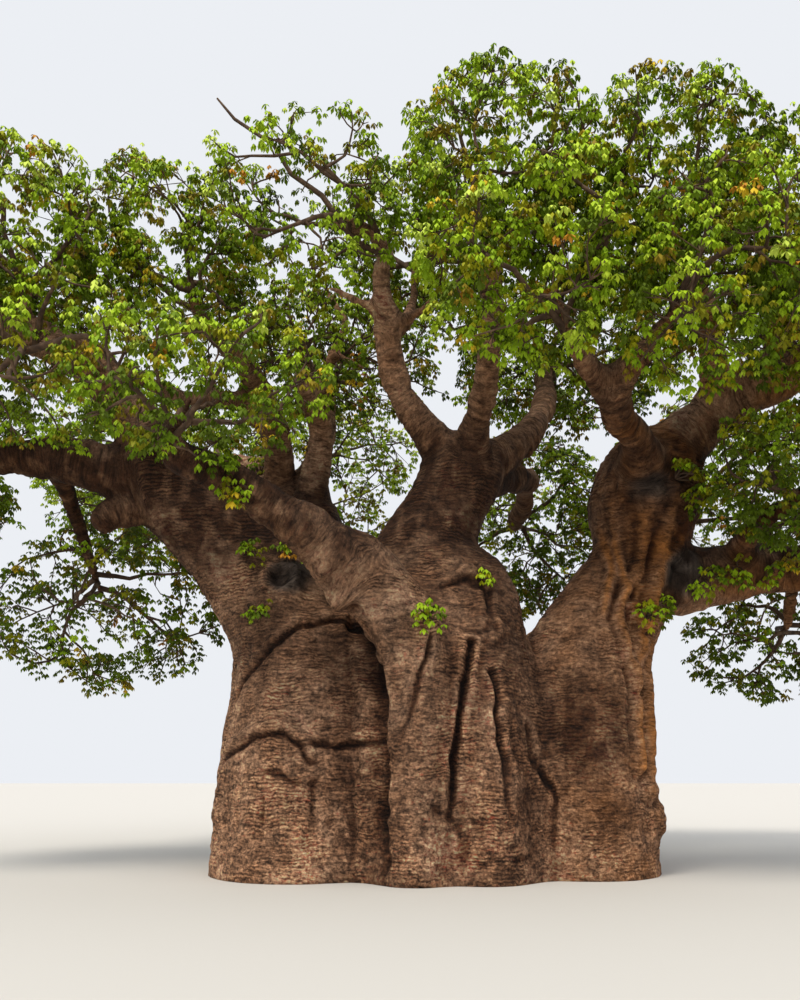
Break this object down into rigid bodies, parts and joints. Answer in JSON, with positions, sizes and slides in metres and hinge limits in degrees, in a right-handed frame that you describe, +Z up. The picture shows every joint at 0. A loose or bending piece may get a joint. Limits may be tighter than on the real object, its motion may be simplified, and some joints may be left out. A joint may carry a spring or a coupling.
{
  "type": "baobab tree",
  "caption": "Old squat baobab with a broad trunk of fused columns, heavy low boughs and a wide open crown of leaf masses.",
  "frame": {"origin": "middle of the trunk's flat cut, at ground level", "axes": "+Z up, +X to the right as seen from the front, -Y towards the front"},
  "size_m": [18.6889, 11.4393, 10.1242],
  "materials": {
    "trunk_bark": "rough, wrinkled grey-brown bark",
    "bough_bark": "smoother wrinkled brown bark",
    "foliage": "soft satin green leaves"
  },
  "bodies": {
    "root": {"trunk": "trunk_bark", "bough_left_low": "bough_bark", "bough_left_rise": "bough_bark", "bough_left_stub": "bough_bark", "bough_front_low": "bough_bark", "bough_centre_left": "bough_bark", "bough_right_front": "bough_bark", "bough_right_rise": "bough_bark", "bough_right_low": "bough_bark", "bough_back_left": "bough_bark", "bough_back_right": "bough_bark", "limb_left_hanging": "bough_bark", "limb_left_top_outer": "bough_bark", "limb_left_front": "bough_bark", "limb_left_top_inner": "bough_bark", "limb_centre_left": "bough_bark", "limb_centre_high": "bough_bark", "limb_right_top_inner": "bough_bark", "limb_right_front": "bough_bark", "limb_right_top": "bough_bark", "limb_right_top_outer": "bough_bark", "limb_right_front_outer": "bough_bark", "limb_right_low_front": "bough_bark", "limb_right_hanging": "bough_bark", "limb_back_middle": "bough_bark", "limb_back_high": "bough_bark", "limb_back_low": "bough_bark", "limb_back_top": "bough_bark", "foliage_left_low_outer": "foliage", "foliage_left_outer": "foliage", "foliage_front_low": "foliage", "foliage_centre_top": "foliage", "foliage_right_front_inner": "foliage", "foliage_right_outer": "foliage", "foliage_right_low_outer": "foliage", "foliage_back_left": "foliage", "foliage_back_right": "foliage", "foliage_left_hanging": "foliage", "foliage_left_top_outer": "foliage", "foliage_left_front": "foliage", "foliage_left_top_inner": "foliage", "foliage_centre_left": "foliage", "foliage_centre_high": "foliage", "foliage_right_top_inner": "foliage", "foliage_right_front": "foliage", "foliage_right_top": "foliage", "foliage_right_top_outer": "foliage", "foliage_right_front_outer": "foliage", "foliage_right_low_front": "foliage", "foliage_right_hanging": "foliage", "foliage_back_middle": "foliage", "foliage_back_high": "foliage", "foliage_back_low": "foliage", "foliage_back_top": "foliage"}
  },
  "joints": []
}
